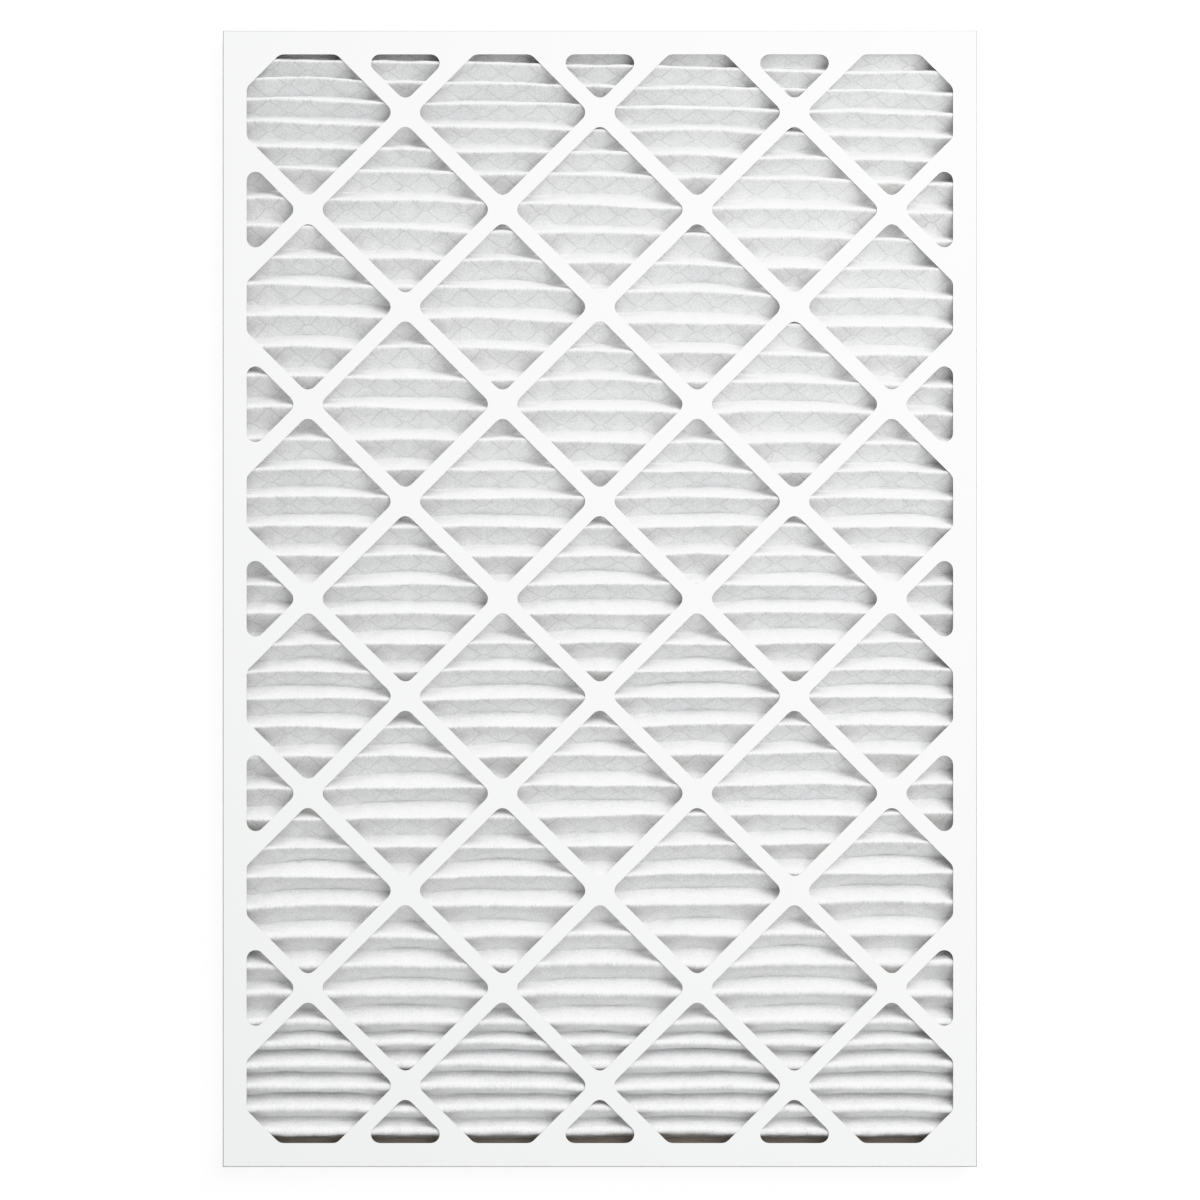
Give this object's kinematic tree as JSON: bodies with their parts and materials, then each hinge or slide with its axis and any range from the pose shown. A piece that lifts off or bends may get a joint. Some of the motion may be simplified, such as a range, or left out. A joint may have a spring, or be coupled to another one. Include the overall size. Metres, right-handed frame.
{
  "type": "pleated panel air filter",
  "caption": "Disposable pleated panel air filter: a folded cloth and expanded-metal pleat pack held between two white board trays with diagonal lattice faces.",
  "frame": {"origin": "middle of the underside: the centre of the air-leaving face, on the surface the filter lies on", "axes": "+X along the pleats (short side), +Y across the pleats (long side), +Z through the filter from the air-leaving face to the air-entering face"},
  "size_m": [0.5016, 0.7556, 0.0191],
  "materials": {
    "front_board": "white coated board, matt",
    "back_board": "white coated board, matt",
    "filter_cloth": "white nonwoven synthetic fibre",
    "expanded_metal": "galvanised"
  },
  "bodies": {
    "root": {"front_frame": "front_board", "back_frame": "back_board", "pleated_media": "filter_cloth", "support_mesh": "expanded_metal"}
  },
  "joints": []
}
